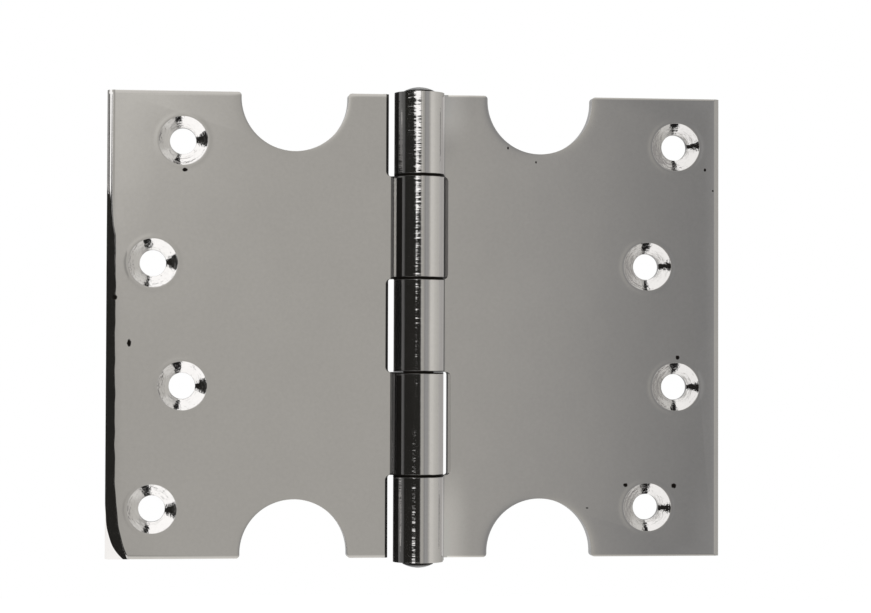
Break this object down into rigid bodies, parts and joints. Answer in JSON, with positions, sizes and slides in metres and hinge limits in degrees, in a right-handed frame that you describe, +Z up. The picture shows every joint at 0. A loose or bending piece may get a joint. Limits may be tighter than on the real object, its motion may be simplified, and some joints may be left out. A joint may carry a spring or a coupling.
{
  "type": "parliament hinge",
  "caption": "Parliament hinge lying open flat: wide leaves with half-round notches and staggered countersunk holes turn on a slim pin through interleaved knuckles.",
  "frame": {"origin": "on the pin's axis, halfway up the barrel, which is the centre of the part's box; the leaves' middle is 0.25 mm above it, because the bottom knuckle stands out below them", "axes": "+Z up along the pin, +X towards the frame leaf's outer edge, +Y out of the leaves' backs into the wood; the countersunk faces look towards -Y"},
  "size_m": [0.1016, 0.0082, 0.0786],
  "materials": {
    "plated_leaf": "polished plate on solid drawn brass",
    "steel_pin": "bright drawn steel, dulled at the ends"
  },
  "bodies": {
    "frame": {"frame_leaf": "plated_leaf", "hinge_pin": "steel_pin"},
    "door": {"door_leaf": "plated_leaf"}
  },
  "joints": [
    {"name": "leaf_swing", "type": "hinge", "parent": "frame", "child": "door", "pos_m": [0, 0, 0], "axis": [0, 0, 1], "range_deg": [-94, 183.4]}
  ]
}
